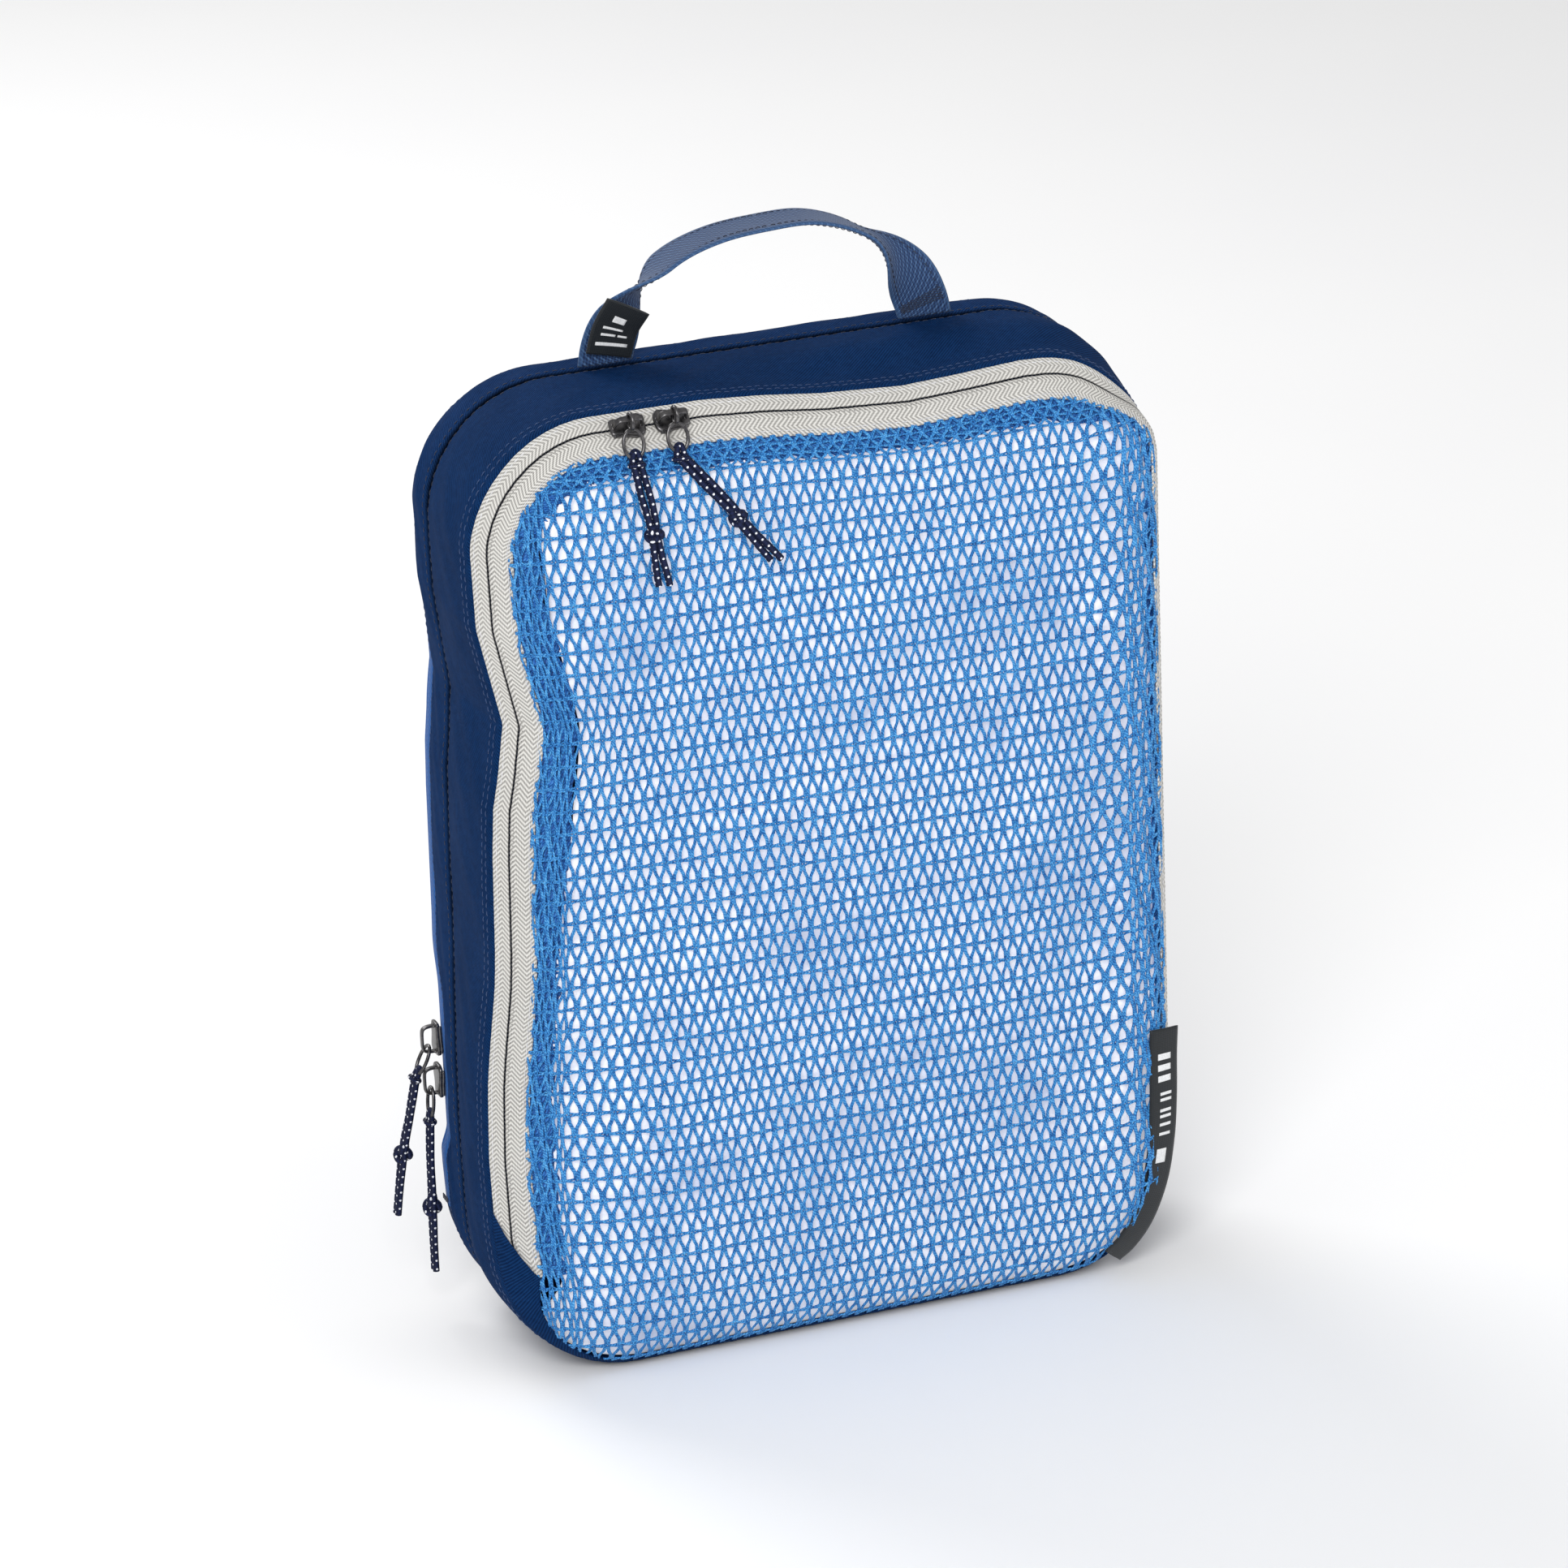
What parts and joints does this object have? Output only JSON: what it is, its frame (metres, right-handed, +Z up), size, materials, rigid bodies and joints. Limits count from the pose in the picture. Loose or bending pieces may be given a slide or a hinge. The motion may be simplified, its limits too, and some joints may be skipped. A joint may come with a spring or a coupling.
{
  "type": "packing cube",
  "caption": "Soft rectangular travel packing cube with a mesh front flap, a cloth rear flap, zips round both, an inner divider and a webbing carry handle on top.",
  "frame": {"origin": "middle of the flat bottom of the bag, on the surface it stands on", "axes": "+Z up, the mesh front faces -Y, +X to the right seen from the front"},
  "size_m": [0.2747, 0.1097, 0.4049],
  "materials": {
    "navy_twill": "fine diagonal twill, matt",
    "white_zip_tape": "herringbone tape",
    "white_coil": "nylon coil",
    "blue_zip_tape": "herringbone tape",
    "blue_coil": "nylon coil",
    "blue_mesh": "open knit mesh",
    "white_tissue": "crumpled paper",
    "navy_webbing": "fine ribbed webbing",
    "black_ribbon": "satin ribbon",
    "gunmetal": "black nickel",
    "pull_cord": "braided cord with light flecks"
  },
  "bodies": {
    "bag": {"front_gusset": "navy_twill", "rear_gusset": "navy_twill", "divider_panel": "navy_twill", "middle_seam_binding": "navy_twill", "front_corner_facing": "navy_twill", "rear_corner_facing": "navy_twill", "rear_lower_panel": "navy_twill", "front_zip_end_tack_left": "navy_twill", "front_zip_end_tack_right": "navy_twill", "rear_zip_end_tack_left": "navy_twill", "rear_zip_end_tack_right": "navy_twill", "front_zip_outer_tape": "white_zip_tape", "front_zip_outer_coil": "white_coil", "rear_zip_outer_tape": "blue_zip_tape", "rear_zip_outer_coil": "blue_coil", "mesh_lower_panel": "blue_mesh", "display_tissue_lower": "white_tissue", "edge_ribbon_lower": "black_ribbon"},
    "handle": {"handle_webbing": "navy_webbing", "size_tag": "black_ribbon"},
    "front_flap": {"mesh_panel": "blue_mesh", "mesh_hem": "blue_mesh", "front_zip_inner_tape": "white_zip_tape", "front_zip_inner_coil": "white_coil", "display_tissue": "white_tissue", "edge_ribbon": "black_ribbon"},
    "rear_flap": {"rear_panel": "navy_twill", "rear_zip_inner_tape": "blue_zip_tape", "rear_zip_inner_coil": "blue_coil"},
    "front_left_slider_body": {"front_left_slider": "gunmetal"},
    "front_left_pull": {"front_left_puller": "gunmetal"},
    "front_left_cord_body": {"front_left_cord": "pull_cord", "front_left_cord_knot": "pull_cord", "front_left_cord_tails": "pull_cord"},
    "front_right_slider_body": {"front_right_slider": "gunmetal"},
    "front_right_pull": {"front_right_puller": "gunmetal"},
    "front_right_cord_body": {"front_right_cord": "pull_cord", "front_right_cord_knot": "pull_cord", "front_right_cord_tails": "pull_cord"},
    "rear_upper_slider_body": {"rear_upper_slider": "gunmetal"},
    "rear_upper_pull": {"rear_upper_puller": "gunmetal"},
    "rear_upper_cord_body": {"rear_upper_cord": "pull_cord", "rear_upper_cord_knot": "pull_cord", "rear_upper_cord_tails": "pull_cord"},
    "rear_lower_slider_body": {"rear_lower_slider": "gunmetal"},
    "rear_lower_pull": {"rear_lower_puller": "gunmetal"},
    "rear_lower_cord_body": {"rear_lower_cord": "pull_cord", "rear_lower_cord_knot": "pull_cord", "rear_lower_cord_tails": "pull_cord"}
  },
  "joints": [
    {"name": "front_flap_open", "type": "hinge", "parent": "bag", "child": "front_flap", "pos_m": [0, -0.0513, 0.042], "axis": [1, 0, 0], "range_deg": [0, 95]},
    {"name": "rear_flap_open", "type": "hinge", "parent": "bag", "child": "rear_flap", "pos_m": [0, 0.0513, 0.042], "axis": [-1, 0, 0], "range_deg": [0, 95]},
    {"name": "handle_fold", "type": "hinge", "parent": "bag", "child": "handle", "pos_m": [0, 0.013, 0.3612], "axis": [1, 0, 0], "range_deg": [-60, 60]},
    {"name": "front_left_zip_slide", "type": "slide", "parent": "front_flap", "child": "front_left_slider_body", "axis": [1, 0, 0], "range_m": [-0.01, 0]},
    {"name": "front_left_pull_swing", "type": "hinge", "parent": "front_left_slider_body", "child": "front_left_pull", "pos_m": [-0.071, -0.04486, 0.35968], "axis": [-1, 0, 0], "range_deg": [0, 80]},
    {"name": "front_left_cord_hang", "type": "hinge", "parent": "front_left_pull", "child": "front_left_cord_body", "pos_m": [-0.071, -0.04885, 0.34668], "axis": [-1, 0, 0], "range_deg": [-80, 0]},
    {"name": "front_right_zip_slide", "type": "slide", "parent": "front_flap", "child": "front_right_slider_body", "axis": [1, 0, 0], "range_m": [0, 0.13]},
    {"name": "front_right_pull_swing", "type": "hinge", "parent": "front_right_slider_body", "child": "front_right_pull", "pos_m": [-0.055, -0.04486, 0.35968], "axis": [-1, 0, 0], "range_deg": [0, 80]},
    {"name": "front_right_cord_hang", "type": "hinge", "parent": "front_right_pull", "child": "front_right_cord_body", "pos_m": [-0.055, -0.04885, 0.34668], "axis": [-1, 0, 0], "range_deg": [-80, 0]},
    {"name": "rear_upper_zip_slide", "type": "slide", "parent": "rear_flap", "child": "rear_upper_slider_body", "axis": [0, 0, 1], "range_m": [0, 0.195]},
    {"name": "rear_upper_pull_swing", "type": "hinge", "parent": "rear_upper_slider_body", "child": "rear_upper_pull", "pos_m": [-0.1316, 0.0393, 0.1043], "axis": [0, 1, 0], "range_deg": [0, 60]},
    {"name": "rear_upper_cord_hang", "type": "hinge", "parent": "rear_upper_pull", "child": "rear_upper_cord_body", "pos_m": [-0.13667, 0.0393, 0.09431], "axis": [0, 1, 0], "range_deg": [-60, 0]},
    {"name": "rear_lower_zip_slide", "type": "slide", "parent": "rear_flap", "child": "rear_lower_slider_body", "axis": [0, 0, 1], "range_m": [-0.015, 0]},
    {"name": "rear_lower_pull_swing", "type": "hinge", "parent": "rear_lower_slider_body", "child": "rear_lower_pull", "pos_m": [-0.1316, 0.0393, 0.0878], "axis": [0, 1, 0], "range_deg": [0, 18]},
    {"name": "rear_lower_cord_hang", "type": "hinge", "parent": "rear_lower_pull", "child": "rear_lower_cord_body", "pos_m": [-0.13272, 0.0393, 0.07666], "axis": [0, 1, 0], "range_deg": [-18, 0]}
  ],
  "couplings": [
    {"joint": "front_left_cord_hang", "follows": "front_left_pull_swing", "ratio": -1},
    {"joint": "front_right_cord_hang", "follows": "front_right_pull_swing", "ratio": -1},
    {"joint": "rear_upper_cord_hang", "follows": "rear_upper_pull_swing", "ratio": -1},
    {"joint": "rear_lower_cord_hang", "follows": "rear_lower_pull_swing", "ratio": -1}
  ]
}
